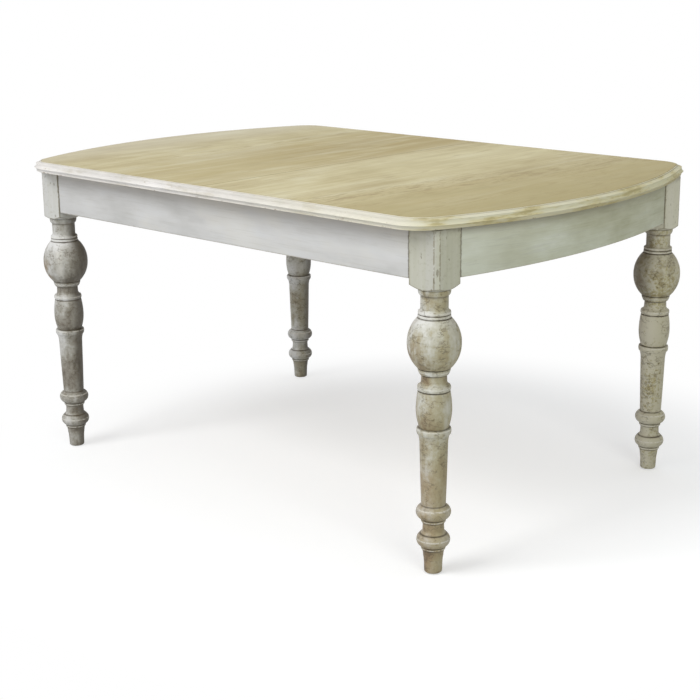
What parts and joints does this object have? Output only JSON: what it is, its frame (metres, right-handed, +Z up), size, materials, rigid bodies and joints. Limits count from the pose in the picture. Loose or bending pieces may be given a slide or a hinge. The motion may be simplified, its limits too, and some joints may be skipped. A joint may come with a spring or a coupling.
{
  "type": "extending dining table",
  "caption": "Painted extending dining table with bowed ends, turned legs, a washed-wood top in two halves on geared slides, and a leaf stored beneath.",
  "frame": {"origin": "on the floor under the middle of the table's box", "axes": "+X along the table towards the right end, +Y across it towards the back, +Z up"},
  "size_m": [1.51, 1.022, 0.77],
  "materials": {
    "washed_wood": "pale washed, matt",
    "edge_paint": "off-white paint, rubbed at the arrises",
    "leg_paint": "chalky grey-cream paint, rubbed through",
    "apron_paint": "grey-white paint, matt",
    "bare_wood": "unpainted, planed",
    "plated_steel": "zinc plated",
    "nylon": "natural"
  },
  "bodies": {
    "frame": {"leg_front_left": "leg_paint", "leg_front_right": "leg_paint", "leg_back_left": "leg_paint", "leg_back_right": "leg_paint", "front_apron": "apron_paint", "back_apron": "apron_paint", "left_end_apron": "apron_paint", "right_end_apron": "apron_paint", "corner_block_front_left": "bare_wood", "corner_block_front_right": "bare_wood", "corner_block_back_left": "bare_wood", "corner_block_back_right": "bare_wood", "left_bearer": "bare_wood", "right_bearer": "bare_wood", "leaf_stops": "bare_wood", "apron_pads": "nylon", "front_slide_case": "plated_steel", "back_slide_case": "plated_steel", "pinion_pins": "plated_steel", "extension_leaf": "washed_wood", "leaf_left_lipping": "edge_paint", "leaf_right_lipping": "edge_paint"},
    "left_half": {"left_top_panel": "washed_wood", "left_top_edge": "edge_paint", "left_inner_batten": "bare_wood", "left_outer_batten": "bare_wood", "front_left_slide_bar": "plated_steel", "back_left_slide_bar": "plated_steel", "left_bar_brackets": "plated_steel", "lock_pivots": "plated_steel"},
    "right_half": {"right_top_panel": "washed_wood", "right_top_edge": "edge_paint", "right_inner_batten": "bare_wood", "right_outer_batten": "bare_wood", "front_right_slide_bar": "plated_steel", "back_right_slide_bar": "plated_steel", "right_bar_brackets": "plated_steel", "lock_studs": "plated_steel", "seam_dowels": "bare_wood"},
    "front_pinion": {"front_pinion": "nylon"},
    "back_pinion": {"back_pinion": "nylon"},
    "front_lock": {"front_lock_lever": "plated_steel"},
    "back_lock": {"back_lock_lever": "plated_steel"}
  },
  "joints": [
    {"name": "left_slide", "type": "slide", "parent": "frame", "child": "left_half", "axis": [-1, 0, 0], "range_m": [0, 0.24]},
    {"name": "right_slide", "type": "slide", "parent": "frame", "child": "right_half", "axis": [1, 0, 0], "range_m": [0, 0.24]},
    {"name": "front_pinion_spin", "type": "hinge", "parent": "frame", "child": "front_pinion", "pos_m": [0, -0.432, 0.7112], "axis": [0, -1, 0], "range_deg": [0, 764]},
    {"name": "back_pinion_spin", "type": "hinge", "parent": "frame", "child": "back_pinion", "pos_m": [0, 0.432, 0.7112], "axis": [0, 1, 0], "range_deg": [0, 764]},
    {"name": "front_lock_turn", "type": "hinge", "parent": "left_half", "child": "front_lock", "pos_m": [-0.034, -0.3, 0.7415], "axis": [0, 0, -1], "range_deg": [0, 90]},
    {"name": "back_lock_turn", "type": "hinge", "parent": "left_half", "child": "back_lock", "pos_m": [-0.034, 0.3, 0.7415], "axis": [0, 0, 1], "range_deg": [0, 90]}
  ],
  "couplings": [
    {"joint": "right_slide", "follows": "left_slide", "ratio": 1},
    {"joint": "front_pinion_spin", "follows": "left_slide", "rad_per_m": 55.556},
    {"joint": "back_pinion_spin", "follows": "left_slide", "rad_per_m": 55.556}
  ]
}
